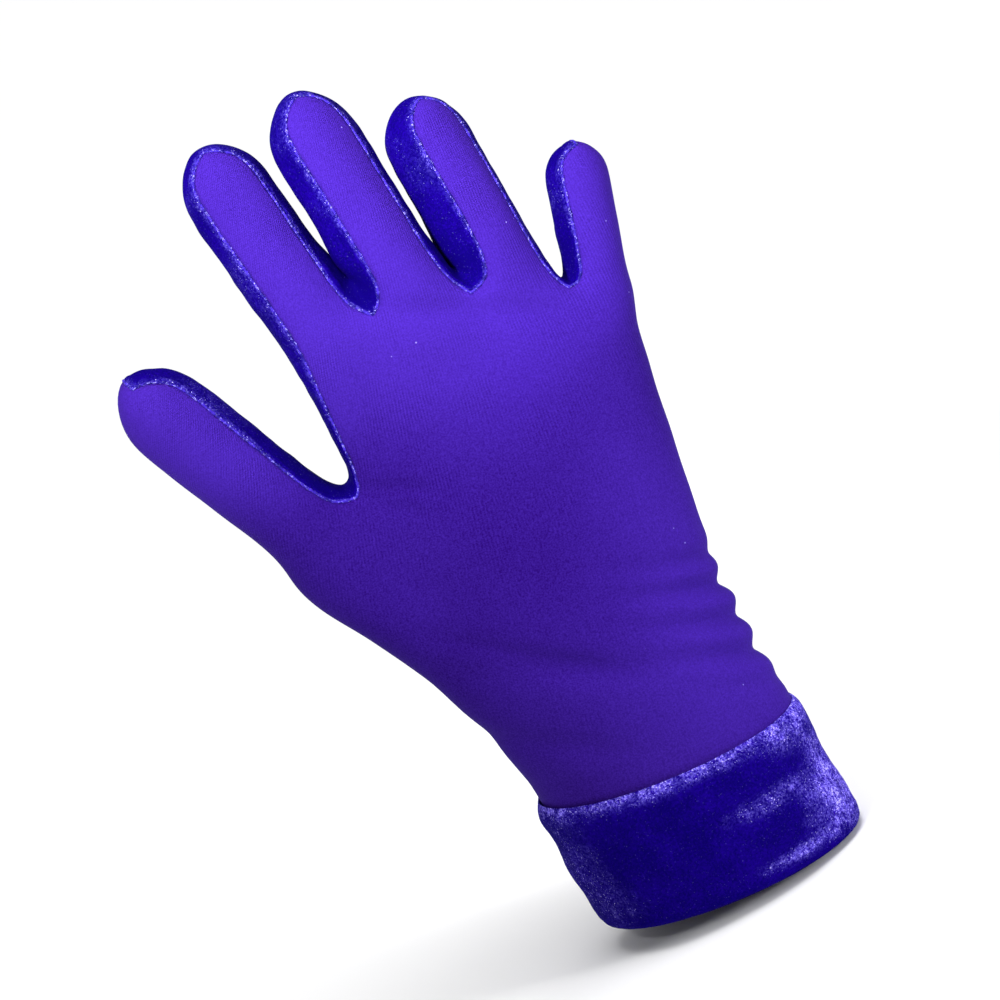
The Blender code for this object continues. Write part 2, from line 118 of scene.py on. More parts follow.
# Fingers from the little finger's side. Width and pitch are shares of FINGER_WIDTH, depth of
# FINGER_DEPTH, length of FINGER_LENGTH, root of HAND_LENGTH and knuckle of KNUCKLE_DEPTH. Sink
# is how far the root lies towards the palm, as a share of FINGER_DEPTH. Lean, curl at the root
# and at the tip, roll, and the seams' angle from the finger's side are in degrees.
FINGERS = table(
    "name width depth pitch length root knuckle sink lean curl_root curl_tip roll seam",
    ("little", 0.715, 0.76, 0.715, 0.611, 0.885, 0.82, 0.10, 18.0, 4.0, 20.0, 18.0, 45.0),
    ("ring", 1.100, 0.97, 0.955, 0.896, 0.945, 0.98, 0.05, -0.8, 4.0, 24.0, 27.0, 62.0),
    ("middle", 1.030, 1.00, 0.995, 1.000, 1.000, 1.00, -0.05, -3.1, 4.0, 26.0, 15.0, 50.0),
    ("index", 1.010, 0.99, 1.005, 0.974, 1.003, 0.98, 0.03, -5.7, 4.0, 24.0, 6.0, 46.0),
)
THUMB = dict(lean=-22.8, curl_root=2.0, curl_tip=12.0, roll=0.0, seam=46.0)
# The webs between neighbouring fingers, from the little finger's side: the height of the
# gusset's edge at the back, its middle and its edge at the palm, as shares of HAND_LENGTH, and
# how far the back edge is set off towards the little finger, as a share of FINGER_WIDTH
WEBS = table(
    "back middle palm offset",
    (0.913, 0.915, 0.915, 0.09),
    (0.980, 1.026, 1.008, 0.10),
    (1.025, 1.095, 1.055, 0.07),
)
KNUCKLE_CORNER = 0.72  # depth of the webs' edges, as a share of the knuckles' half depth
OUTER_CORNER = 0.10  # how far the outer seams lie inside the knuckles' ends, of FINGER_WIDTH
OUTER_DROP = 0.020  # how far the knuckles' ends lie under the outer fingers' roots, of HAND_LENGTH
WEB_LIFT = 0.015  # how far a finger's first ring stays above its webs, as a share of HAND_LENGTH
THUMB_WEB = dict(back=0.804, middle=0.806, palm=0.804)  # the same heights beside the thumb
THUMB_HEIGHT = 0.822  # where the thumb's upper side leaves the palm, as a share of HAND_LENGTH
THUMB_CORNER = 0.66  # depth of the thumb web's edges, as a share of the thumb's half depth
THUMB_DROP = 0.007  # how far the thumb's root lies under that
THUMB_ROOT = 1.17  # width of the thumb's root, as a share of THUMB_WIDTH
THUMB_OFFSET = 0.0020  # how far outside the palm's edge the thumb's upper side starts
# Stations of a finger: how far along, and its width, depth and roll there as shares of its own
STATIONS = table(
    "along wide deep rolled",
    (0.10, 0.95, 1.04, 0.8),
    (0.36, 0.98, 1.00, 1.0),
    (0.68, 1.00, 0.95, 1.0),
    (0.850, 0.99, 0.90, 1.0),
)
PATH_STEPS = 40  # straight steps that a finger's curved middle line is made of
TIP_REACH = 1.075  # how far along the tip's middle lies
TIP_EDGE = 0.925  # how far along the gusset's edges cross the tip
TIP_SPREAD = 1.00  # how far they stand to the back and the palm, as a share of the half depth
# Rows of the sleeve: height as a share of the thumb web's; how far each edge has gone from the
# wrist's width to the palm's; how far the depth has gone; how much of the webbed ring's shape
# the row has taken; cage rows from here to the next
SLEEVE = table(
    "height to_thumb to_palm to_depth webbed rows",
    (0.000, 0.00, 0.00, 0.00, 0.00, 1),
    (0.285, 0.01, 0.10, 0.00, 0.00, 4),
    (0.445, 0.13, 0.13, 0.12, 0.00, 4),
    (0.610, 0.34, 0.17, 0.35, 0.10, 1),
    (0.705, 0.51, 0.38, 0.50, 0.25, 1),
    (0.800, 0.68, 0.56, 0.62, 0.45, 1),
    (0.895, 0.87, 0.77, 0.80, 0.70, 1),
)
PALM_ROWS = 3  # cage rows from the thumb's web to the knuckles
# Folds of the wrist: height as a share of HAND_LENGTH, place and spread across as shares of
# WRIST_WIDTH, depth and reach as shares of FOLD_DEPTH and FOLD_REACH. The first five pinch the
# edge on the little finger's side.
FOLDS = table(
    "height across spread depth reach",
    (0.262, 0.50, 0.22, 0.3, 0.9),
    (0.311, 0.50, 0.26, 1.0, 1.0),
    (0.364, 0.50, 0.26, 1.0, 1.0),
    (0.416, 0.50, 0.26, 1.1, 1.0),
    (0.460, 0.50, 0.24, 0.6, 0.9),
    (0.435, -0.20, 0.30, 0.6, 1.6),
    (0.330, -0.35, 0.25, 0.3, 1.4),
)
# The cuff's wall, up its outer layer: height as a share of CUFF_HEIGHT, and how far it stands
# off the sleeve as a share of its own wall
CUFF_ROWS = table(
    "height proud",
    (0.10, 0.05),
    (0.40, 0.45),
    (0.70, 0.30),
    (0.95, 0.70),
)
BACK, PALM, GUSSET = range(3)

# Camera: the photo's angle, with the glove turned in the frame as the photo shows it
CAMERA_TARGET = (-0.0056, 0.0, 0.10862)
CAMERA_DISTANCE = 1.0
CAMERA_ELEVATION = 14.0
CAMERA_ROLL = 29.0
CAMERA_SPAN = 0.2353  # how much of the target's plane the frame shows
SENSOR = 36.0

FLOOR_RADIUS = 14.0
FLOOR_COLOUR = (0.92, 0.92, 0.92, 1.0)
SKY_STRENGTH = 0.33

# Levels of subdivision of the cage for the fabric and for the velvet
FABRIC_LEVELS = 3
VELVET_LEVELS = 4

# Soft creases on the back of the hand: where each starts and ends, as x and z, its depth, and
# its reach to both sides
CREASES = table(
    "start end depth reach",
    ((-0.0060, 0.1630), (0.0270, 0.1440), 0.00080, 0.0024),
    ((-0.0020, 0.1520), (0.0300, 0.1360), -0.00035, 0.0040),
    ((-0.0330, 0.1290), (-0.0190, 0.1225), 0.00090, 0.0015),
    ((-0.0325, 0.1255), (-0.0230, 0.1185), 0.00060, 0.0013),
    ((-0.0320, 0.0880), (-0.0020, 0.0650), 0.00060, 0.0024),
    ((-0.0300, 0.0800), (-0.0100, 0.0640), -0.00040, 0.0030),
)
CREASE_FADE = 9.0  # how suddenly a crease starts and ends
UNEVEN = dict(height=0.00022, length=0.011)  # the cloth's slow unevenness
PUCKER = dict(height=0.00010, pitch=0.0026, reach=0.0022)  # the fabric's gathers along a seam
SIDE_SEAM = dict(depth=0.00022, reach=0.0006)  # where back and palm panel meet

# The tables of tight and painted light patches, of swells, of painted shade in the webs, of painted
# sheen on the cuff and of dents list soft oval patches. Their columns are the place across and up,
# the reach across and up, and the amount.

# Where the cloth is tight, and so paler, with painted light on top: the fabric is painted brighter
# on the fingers, the knuckles and the wrist, and patches below 0 make it darker. All of it above
# these heights, and patches in x and z
TIGHT_AND_LIT_FROM, TIGHT_AND_LIT_TO = 0.116, 0.152
TIGHT_AND_LIT = [
    (0.026, 0.060, 0.020, 0.040, 0.45),
    (0.002, 0.045, 0.028, 0.024, 0.50),
    (0.026, 0.105, 0.014, 0.030, 0.25),
    (-0.048, 0.134, 0.022, 0.028, -0.35),
    (-0.018, 0.139, 0.013, 0.012, -0.28),
]

# The velvet's rolled edge beside its seam, and its pile's unevenness
ROLL = dict(height=0.00030, place=0.0011, reach=0.0007)
PILE = dict(height=0.00016, length=0.0035)

# Where the velvet of two neighbouring fingers swells until it touches, above their web, in x
# and z
SWELLS = [
    (-0.0123, 0.1768, 0.0040, 0.0048, 0.0010),
    (0.0102, 0.1685, 0.0040, 0.0050, 0.0005),
]

# The seam's ridge: step along it, sides round it, radius, and the stitches' pitch
RIDGE = dict(step=0.00030, sides=7, radius=0.00034, swing=0.00012, pitch=0.0011)

# How the gusset's pile is brushed, as painted light: painted sheen beside the seam and in
# patches, where it lies to the light, and painted shade inside the webs, in x and z
GUSSET_SHEEN = dict(seam=0.24, reach=0.0010, patch=0.09, fine=0.0030, broad=0.0120)
WEB_SHADES = [
    (-0.0122, 0.1725, 0.0060, 0.0090, 0.75),
    (0.0115, 0.1655, 0.0060, 0.0090, 0.75),
    (0.0354, 0.1490, 0.0050, 0.0080, 0.6),
    (-0.0400, 0.1350, 0.0130, 0.0100, 0.7),
]

# Painted sheen where the cuff's pile is brushed to the light, and the dents and swells of its outer
# layer.
# Across and up are shares of the cuff's front.
CUFF_SHEENS = [
    (0.42, 1.00, 0.90, 0.070, 1.00),
    (0.95, 0.90, 0.10, 0.10, 0.60),
    (1.01, 0.40, 0.05, 0.34, 0.90),
    (0.96, 0.28, 0.09, 0.14, 0.66),
    (0.76, 0.555, 0.14, 0.055, 0.50),
    (0.94, 0.44, 0.07, 0.07, 0.45),
    (0.78, 0.13, 0.14, 0.04, 0.70),
    (0.00, 0.50, 0.08, 0.45, 0.18),
    (0.10, 0.20, 0.09, 0.16, 0.07),
]
DENTS = [
    (0.40, 0.55, 0.30, 0.30, 0.0007),
    (0.90, 0.62, 0.08, 0.13, 0.0008),
    (0.80, 0.38, 0.25, 0.10, -0.0006),
    (1.00, 0.60, 0.12, 0.20, 0.0009),
    (1.00, 0.08, 0.12, 0.12, -0.0010),
]
CRUSH = dict(fine=0.00016, wave=0.00055)  # unevenness of the cuff's outer layer
CRUSH_GRAIN = 0.0045  # how wide the fine one is
CRUSH_WAVES = (0.018, 0.018, 0.008)  # how long the waves are each way
TUCK = dict(depth=0.0013, reach=0.080)  # how far the cuff's upper edge tucks in, and over what
HEM = dict(height=0.00016, pitch=0.0008, reach=0.0026)  # fine ridges beside the folded edge
CUFF_LEVELS = 3  # of subdivision

# The knit: pitches of its ribs and of its rows of loops, and how far the ribs wander
RIB_PITCH = 0.00092
ROW_PITCH = 0.00052
RIB_WANDER = 0.0006
# How the ribs fan out from this height: by how many degrees they lean in the middle, and by how
# many fewer for each metre across
FAN = dict(height=0.10, lean=11.0, spread=220.0)
ROUND = 0.0105  # the radius at which ribs follow the cloth round a side

# Colours: the fabric's ground and its tight ribs, which also carry its painted light, the velvet's
# ground, which its painted shade darkens to, its pile, and its painted sheen where the pile is
# brushed to the light, with its painted glints, and the ridge's ground, pile and painted glints
FABRIC_DEEP, FABRIC_PALE = (0.0125, 0.0003, 0.105, 1.0), (0.051, 0.0155, 0.330, 1.0)
FABRIC_FLECK = (0.42, 0.34, 1.0, 1.0)
VELVET_DEEP, VELVET_BODY = (0.0028, 0.0001, 0.105, 1.0), (0.0130, 0.0005, 0.290, 1.0)
VELVET_SHEEN_DULL, VELVET_SHEEN_BRIGHT = (0.022, 0.004, 0.34, 1.0), (0.200, 0.150, 0.82, 1.0)
VELVET_GLINT = (0.46, 0.40, 0.98, 1.0)
RIDGE_DEEP, RIDGE_PALE = (0.006, 0.0006, 0.16, 1.0), (0.040, 0.014, 0.42, 1.0)
RIDGE_GLINT = (0.32, 0.28, 0.90, 1.0)

FABRIC_SHADER = {
    "Roughness": 0.78, "Specular IOR Level": 0.03,
    "Sheen Weight": 0.015, "Sheen Roughness": 0.45, "Sheen Tint": (0.45, 0.32, 1.0, 1.0),
}
VELVET_SHADER = {
    "Roughness": 0.75, "Specular IOR Level": 0.008,
    "Sheen Weight": 0.006, "Sheen Roughness": 0.35, "Sheen Tint": (0.30, 0.20, 1.0, 1.0),
}
RIDGE_SHADER = {"Roughness": 0.6, "Specular IOR Level": 0.15}
FLOOR_SHADER = {"Roughness": 0.9}


def mix(a, b, share):
    """The value at this share of the way from a to b."""
    return a + (b - a) * share


def swell(sides):
    """How much wider a cage with this many sides is than the tube that it makes."""
    return 1 / (0.75 + 0.25 * math.cos(2 * math.pi / sides))


class Ring:
    """One ring of a tube: the middle of its right side, its back from right to left, the
    middle of its left side, and its palm from left to right."""

    def __init__(self, right, back, left, palm):
        self.right = right
        self.back = back
        self.left = left
        self.palm = palm

    def points(self):
        """All its points, from the right side over the back and round the palm."""
        return [self.right, *self.back, self.left, *self.palm]

    def part(self, first, last, right, left):
        """The columns from first to last of the back, closed by a point on each side."""
        palm = self.palm[::-1][first : last + 1][::-1]
        return Ring(right, self.back[first : last + 1], left, palm)


def ring_of(points):
    """A ring made of points in that order."""
    across = len(points) // 2 - 1
    return Ring(points[0], points[1 : across + 1], points[across + 1], points[across + 2 :])


def oval(centre, side, back, half_width, half_depth, angles):
    """Points at these angles in degrees round an oval, from its side towards its back."""
    points = []
    for angle in angles:
        turn = math.radians(angle)
        reach = side * (math.cos(turn) * half_width) + back * (math.sin(turn) * half_depth)
        points.append(centre + reach)
    return points


def even_angles(sides):
    """Angles in degrees at even steps round a full turn."""
    return [360.0 * i / sides for i in range(sides)]


def finger_angles(seam):
    """Eight columns, with the gusset's edges at the seams' angle."""
    return [0.0, seam, 90.0, 180.0 - seam, 180.0, 180.0 + seam, 270.0, 360.0 - seam]


X_AXIS = Vector((1, 0, 0))
BACKWARD = Vector((0, -1, 0))


def finger_rings(root, finger, width, depth, length):
    """The cage rings above a finger's root, and the three points that close its tip."""
    lean = math.radians(finger["lean"])
    path = [root.copy()]
    headings = []
    for i in range(PATH_STEPS + 4):
        curl = math.radians(mix(finger["curl_root"], finger["curl_tip"], i / PATH_STEPS))
        heading = Vector((math.sin(lean), 0, math.cos(lean))) * math.cos(curl)
        heading.y = math.sin(curl)
        headings.append(heading)
        path.append(path[-1] + heading * (length / PATH_STEPS))
    grow = swell(FINGER_SIDES)

    def frame(along, rolled):
        """Where the middle line is at this share of its length, and the rolled side and back."""
        i = min(round(along * PATH_STEPS), PATH_STEPS + 3)
        heading = headings[i]
        side = (X_AXIS - heading * X_AXIS.dot(heading)).normalized()
        back = side.cross(heading)
        roll = math.radians(finger["roll"] * rolled)
        turned = side * math.cos(roll) - back * math.sin(roll)
        return path[i], turned, back * math.cos(roll) + side * math.sin(roll)

    rings = []
    for station in STATIONS:
        centre, side, back = frame(station["along"], station["rolled"])
        half_width = width * station["wide"] * grow / 2
        half_depth = depth * station["deep"] * grow / 2
        angles = finger_angles(finger["seam"])
        rings.append(ring_of(oval(centre, side, back, half_width, half_depth, angles)))
    end, _, _ = frame(TIP_REACH, 1.0)
    centre, side, back = frame(TIP_EDGE, 1.0)
    spread = back * (depth / 2 * TIP_SPREAD)
    return rings, [centre + spread, end, centre - spread]


def finger_layout():
    """Each finger's root point, and where across the hand the edges of the fingers lie."""
    pitches = [finger["pitch"] * FINGER_WIDTH for finger in FINGERS]
    right_edge = KNUCKLE_SHIFT + sum(pitches) / 2
    edges = [right_edge]
    for pitch in pitches:
        edges.append(edges[-1] - pitch)
    roots = []
    for finger, right, left in zip(FINGERS, edges, edges[1:]):
        sink = finger["sink"] * FINGER_DEPTH
        roots.append(Vector(((right + left) / 2, sink, finger["root"] * HAND_LENGTH)))
    return roots, edges


def knuckle_ring():
    """The ring where the palm ends and the fingers start, with the points of each web."""
    roots, edges = finger_layout()
    halves = [finger["knuckle"] * KNUCKLE_DEPTH / 2 for finger in FINGERS]
    back, palm, webs, outer = [], [], [], []
    for i, edge in enumerate(edges):
        beside = [n for n in (i - 1, i) if 0 <= n < len(roots)]
        corner = sum(halves[n] for n in beside) / len(beside) * KNUCKLE_CORNER
        sink = sum(roots[n].y for n in beside) / len(beside)
        if len(beside) == 2:
            web = WEBS[i - 1]
            set_off = web["offset"] * FINGER_WIDTH
            back.append(Vector((edge + set_off, sink - corner, web["back"] * HAND_LENGTH)))
            palm.append(Vector((edge, sink + corner, web["palm"] * HAND_LENGTH)))
            webs.append(Vector((edge, sink, web["middle"] * HAND_LENGTH)))
        else:
            height = roots[beside[0]].z - OUTER_DROP * HAND_LENGTH
            inward = OUTER_CORNER * FINGER_WIDTH * (1 if i else -1)
            back.append(Vector((edge + inward, sink - corner, height)))
            palm.append(Vector((edge + inward, sink + corner, height)))
            outer.append(Vector((edge, sink, height)))
        if i < len(roots):
            back.append(roots[i] + BACKWARD * halves[i])
            palm.append(roots[i] - BACKWARD * halves[i])
    return Ring(outer[0], back, outer[1], palm[::-1]), webs, roots


def webbed_ring():
    """The ring where the thumb leaves the palm, the middle of its web, and the thumb's root."""
    palm_centre = Vector((PALM_SHIFT, 0, THUMB_WEB["back"] * HAND_LENGTH))
    palm = ring_of(oval(
        palm_centre, X_AXIS, BACKWARD, PALM_WIDTH / 2, PALM_DEPTH / 2, even_angles(PALM_SIDES)
    ))
    lean = math.radians(THUMB["lean"])
    down_left = Vector((-math.cos(lean), 0, math.sin(lean)))
    web_back, web_middle, web_palm = [
        Vector((palm.left.x, 0, THUMB_WEB[end] * HAND_LENGTH)) for end in ("back", "middle", "palm")
    ]
    web_back.y = -THUMB_CORNER * THUMB_DEPTH / 2
    web_palm.y = THUMB_CORNER * THUMB_DEPTH / 2
    start = Vector((palm.left.x - THUMB_OFFSET, 0, THUMB_HEIGHT * HAND_LENGTH - THUMB_DROP))
    root = start + down_left * (THUMB_WIDTH / 2)
    half = THUMB_ROOT * THUMB_WIDTH / 2
    centre = root + down_left * (half - THUMB_WIDTH / 2)
    thumb = ring_of(oval(
        centre, -down_left, BACKWARD, half, THUMB_DEPTH / 2, finger_angles(THUMB["seam"])
    ))
    back = [*palm.back[:-1], web_back, thumb.back[1], thumb.back[2]]
    under = [thumb.palm[0], thumb.palm[1], web_palm, *palm.palm[1:]]
    return Ring(palm.right, back, thumb.left, under), web_middle, root


def sleeve_edges(row):
    """Left and right edge and half depth of the sleeve at a row of its table."""
    ring, _, _ = webbed_ring()
    left = mix(-WRIST_WIDTH / 2, ring.left.x, row["to_thumb"])
    right = mix(WRIST_WIDTH / 2, ring.right.x, row["to_palm"])
    return left, right, mix(WRIST_DEPTH, PALM_DEPTH, row["to_depth"]) / 2


def sleeve_end():
    """How far above the cuff's folded edge the sleeve ends."""
    return VELVET_WALL + 2 * CUFF_CLEARANCE


def sleeve_row_height(row):
    """How high a row of the sleeve's table lies."""
    return mix(sleeve_end(), THUMB_WEB["back"] * HAND_LENGTH, row["height"])


def slant_share(height):
    """How much of the cuff's slant is left at this height: it fades out above the cuff."""
    return min(max(2 - height / CUFF_HEIGHT, 0), 1)


def slanted(point):
    """Lets the little finger's side down and the thumb's side up by the cuff's slant."""
    return point - Vector((0, 0, CUFF_SLANT * slant_share(point.z) * point.x / WRIST_WIDTH))


def sleeve_rings():
    """The cage's rings from the sleeve's end to the one below the thumb's web."""
    target, _, _ = webbed_ring()
    target_points = target.points()
    target_left, target_right = target.left.x, target.right.x
    target_height = THUMB_WEB["back"] * HAND_LENGTH
    grow = swell(SLEEVE_SIDES)
    rings = []
    last = dict(height=1.0, to_thumb=1.0, to_palm=1.0, to_depth=1.0, webbed=1.0, rows=0)
    for here, above in zip(SLEEVE, [*SLEEVE[1:], last]):
        for step in range(here["rows"]):
            row = {key: mix(here[key], above[key], step / here["rows"]) for key in last}
            left, right, half_depth = sleeve_edges(row)
            height = sleeve_row_height(row)
            centre = Vector(((left + right) / 2, 0, height))
            plain = oval(
                centre, X_AXIS, BACKWARD, grow * (right - left) / 2, grow * half_depth,
                even_angles(SLEEVE_SIDES),
            )
            points = []
            for point, aim in zip(plain, target_points):
                across = (aim.x - target_left) / (target_right - target_left)
                deep = aim.y * half_depth / (PALM_DEPTH / 2)
                rise = aim.z - target_height
                aimed = Vector((mix(left, right, across), deep, height + rise))
                points.append(slanted(point.lerp(aimed, row["webbed"])))
            rings.append(ring_of(points))
    return rings


def palm_rings(lower, upper):
    """Cage rings between the webbed ring's palm and the knuckles, both left out."""
    rings = []
    for step in range(1, PALM_ROWS):
        share = step / PALM_ROWS
        pairs = zip(lower.points(), upper.points())
        rings.append(ring_of([a.lerp(b, share) for a, b in pairs]))
    return rings


class Cage:
    """Collects the points and labelled faces of the glove's cage."""

    def __init__(self):
        self.mesh = bmesh.new()

    def ring(self, ring):
        """The cage's own vertices for a ring."""
        return ring_of([self.mesh.verts.new(p) for p in ring.points()])

    def face(self, corners, label):
        """One face of the cage with its panel's label."""
        self.mesh.faces.new(corners).material_index = label

    def tube(self, lower, upper, left_label, right_label):
        """The faces between two rings, with labels of their own beside the two sides."""
        below, above = lower.points(), upper.points()
        count = len(below)
        half = count // 2
        labels = [BACK] * half + [PALM] * half
        labels[0] = labels[-1] = right_label
        labels[half - 1] = labels[half] = left_label
        for i, label in enumerate(labels):
            j = (i + 1) % count
            self.face([below[i], above[i], above[j], below[j]], label)

    def finger(self, root, rings, tip, left_label, right_label):
        """A finger from its root ring to its closed tip."""
        last = root
        for ring in rings:
            made = self.ring(ring)
            self.tube(last, made, left_label, right_label)
            last = made
        back, middle, palm = [self.mesh.verts.new(p) for p in tip]
        self.face([last.right, middle, back, last.back[0]], right_label)
        self.face([back, middle, last.left, last.back[2]], left_label)
        self.face([last.palm[2], palm, middle, last.right], right_label)
        self.face([palm, last.palm[0], last.left, middle], left_label)
        self.face([last.back[0], back, last.back[2], last.back[1]], BACK)
        self.face([last.palm[0], palm, last.palm[2], last.palm[1]], PALM)


def make_cage():
    """The whole glove but the cuff, as one labelled surface that is open at the wrist."""
    cage = Cage()
    webbed, thumb_web, thumb_centre = webbed_ring()
    rings = [cage.ring(r) for r in [*sleeve_rings(), webbed]]
    for lower, upper in zip(rings, rings[1:]):
        cage.tube(lower, upper, BACK, BACK)
    top = rings[-1]
    web = cage.mesh.verts.new(thumb_web)
    palm_columns = PALM_SIDES // 2 - 1
    palm_root = top.part(0, palm_columns - 1, top.right, web)
    thumb_root = top.part(palm_columns - 1, palm_columns + 1, web, top.left)
    thumb_rings, thumb_tip = finger_rings(
        thumb_centre, THUMB, THUMB_WIDTH, THUMB_DEPTH, THUMB_LENGTH
    )
    cage.finger(thumb_root, thumb_rings, thumb_tip, BACK, GUSSET)

    knuckles, webs, roots = knuckle_ring()
    lower_points = webbed.part(0, palm_columns - 1, webbed.right, thumb_web)
    last = palm_root
    for ring in [*palm_rings(lower_points, knuckles), knuckles]:
        made = cage.ring(ring)
        cage.tube(last, made, GUSSET, BACK)
        last = made
    web_points = [cage.mesh.verts.new(p) for p in webs]
    sides = [last.right, *web_points, last.left]
    for i, (finger, root) in enumerate(zip(FINGERS, roots)):
        finger_root = last.part(2 * i, 2 * i + 2, sides[i], sides[i + 1])
        width = finger["width"] * FINGER_WIDTH
        depth = finger["depth"] * FINGER_DEPTH
        made, tip = finger_rings(root, finger, width, depth, finger["length"] * FINGER_LENGTH)
        for side, web in ((made[0].right, sides[i]), (made[0].left, sides[i + 1])):
            side.z = max(side.z, web.co.z + WEB_LIFT * HAND_LENGTH)
        right_label = GUSSET if i else BACK
        cage.finger(finger_root, made, tip, GUSSET, right_label)
    bmesh.ops.recalc_face_normals(cage.mesh, faces=cage.mesh.faces)
    return cage.mesh


def subdivided(cage, levels):
    """The cage's smooth surface as a new bmesh."""
    mesh = bpy.data.meshes.new("cage")
    cage.to_mesh(mesh)
    cage.free()
    holder = bpy.data.objects.new("cage", mesh)
    bpy.context.scene.collection.objects.link(holder)
    smooth = holder.modifiers.new("smooth", "SUBSURF")
    smooth.levels = smooth.render_levels = levels
    graph = bpy.context.evaluated_depsgraph_get()
    surface = bmesh.new()
    surface.from_object(holder, graph)
    bpy.data.objects.remove(holder)
    bpy.data.meshes.remove(mesh)
    return surface


def move(places):
    """Sets vertices to their new places, all at once."""
    for vertex, place in places.items():
        vertex.co = place


def fold(surface):
    """Presses the wrist's folds into the surface."""
    surface.normal_update()
    moved = {}
    for vertex in surface.verts:
        inward = 0.0
        for row in FOLDS:
            across = vertex.co.x - row["across"] * WRIST_WIDTH
            line = row["height"] * HAND_LENGTH - FOLD_SLOPE * across
            beside = across / (row["spread"] * WRIST_WIDTH)
            above = (slanted_back(vertex.co) - line) / (row["reach"] * FOLD_REACH)
            inward += row["depth"] * FOLD_DEPTH * math.exp(-(beside**2) - above**2)
        if inward > FOLD_DEPTH * 0.01:
            moved[vertex] = vertex.co - vertex.normal * inward
    move(moved)


def slanted_back(point):
    """A point's height, without what the slant of the cuff took from it."""
    return point.z + CUFF_SLANT * slant_share(point.z) * point.x / WRIST_WIDTH


def edge_shift(vertex, label):
    """Which way, along the surface, a panel's edge draws back from its seam at this vertex, and
    how much further in a corner so that both its edges keep their gap."""
    total = Vector()
    for edge in vertex.link_edges:
        inside = [f for f in edge.link_faces if f.material_index == label]
        if len(inside) != 1 or len(edge.link_faces) == 1:
            continue
        along = (edge.verts[1].co - edge.verts[0].co).normalized()
        across = inside[0].calc_center_median() - edge.verts[0].co
        total += (across - along * across.dot(along)).normalized()
    if total.length == 0:
        return total
    return total.normalized() * min(2 / total.length, 4.0)


def panel(surface, label, name, wall, material, collection):
    """One panel of the glove as a solid: the faces with this label, with a wall's thickness.
    The wall follows the whole surface's normals, so neighbouring panels have matching edges."""
    made = bmesh.new()
    outer, inner = {}, {}
    faces = [f for f in surface.faces if f.material_index == label]
    for face in faces:
        for vertex in face.verts:
            if vertex in outer:
                continue
            place = vertex.co + edge_shift(vertex, label) * (SEAM_GAP / 2)
            outer[vertex] = made.verts.new(place)
            inner[vertex] = made.verts.new(place - vertex.normal * wall)
    for face in faces:
        made.faces.new([outer[v] for v in face.verts])
        made.faces.new([inner[v] for v in reversed(face.verts)])
        for loop in face.loops:
            neighbours = [f for f in loop.edge.link_faces if f.material_index == label]
            if len(neighbours) == 1:
                rim(made, outer, inner, loop.vert, loop.link_loop_next.vert)
    return finish(made, name, material, collection)


def rim(made, outer, inner, a, b):
    """Closes a wall along one edge, cut into triangles the same way in both panels beside it."""
    if a.index < b.index:
        made.faces.new([outer[b], outer[a], inner[b]])
        made.faces.new([outer[a], inner[a], inner[b]])
    else:
        made.faces.new([outer[b], outer[a], inner[a]])
        made.faces.new([outer[b], inner[a], inner[b]])


def cuff_profile():
    """The cuff's section: how far each point stands off the sleeve's outer face, and its height."""
    wall, gap = VELVET_WALL, CUFF_CLEARANCE
    outside, inside = gap, -FABRIC_WALL - gap
    end = sleeve_end() - gap
    up_outer = [
        (outside + wall * (1 + row["proud"]), row["height"] * CUFF_HEIGHT) for row in CUFF_ROWS
    ]
    lean = CUFF_ROWS[-1]["proud"] * wall
    down_outer = [
        (outside + lean + wall / 2, CUFF_HEIGHT),
        (outside + lean * 0.8, CUFF_ROWS[-1]["height"] * CUFF_HEIGHT),
        (outside, end),
    ]
    floor = [((outside + inside) / 2, wall)]
    up_inner = [(inside, end), (inside, CUFF_FACING - wall / 2)]
    down_inner = [
        (inside - wall / 2, CUFF_FACING),
        (inside - wall, CUFF_FACING - wall / 2),
        (inside - wall, end),
    ]
    middle = (outside + inside) / 2
    low, wide = wall * 0.25, wall * 0.6
    fold_edge = [(inside - wide, low), (middle, 0.0), (outside + wide, low)]
    return [*up_outer, *down_outer, *floor, *up_inner, *down_inner, *fold_edge]


def close_rings(made, rings):
    """Faces from each ring of vertices to the next, and from the last one to the first."""
    for lower, upper in zip(rings, [*rings[1:], rings[0]]):
        for i in range(len(lower)):
            j = (i + 1) % len(lower)
            made.faces.new([lower[i], upper[i], upper[j], lower[j]])
    bmesh.ops.recalc_face_normals(made, faces=made.faces)


def make_cuff(name, material, collection):
    """The folded band: one closed profile carried round the sleeve's outline."""
    left, right, half_depth = sleeve_edges(SLEEVE[0])
    made = bmesh.new()
    loops = []
    for stand_off, height in cuff_profile():
        centre = Vector(((left + right) / 2, 0, height))
        points = oval(
            centre, X_AXIS, BACKWARD, (right - left) / 2 + stand_off, half_depth + stand_off,
            even_angles(2 * SLEEVE_SIDES),
        )
        loops.append([made.verts.new(slanted(p)) for p in points])
    close_rings(made, loops)
    return finish(made, name, material, collection)


def along_line(point, start, end):
    """How far a point on the back lies beside a line, and how much of the line it is at."""
    place = Vector((point.x, point.z))
    first, last = Vector(start), Vector(end)
    line = last - first
    share = (place - first).dot(line) / line.length_squared
    beside = (place - first - line * share).length
    return beside, share


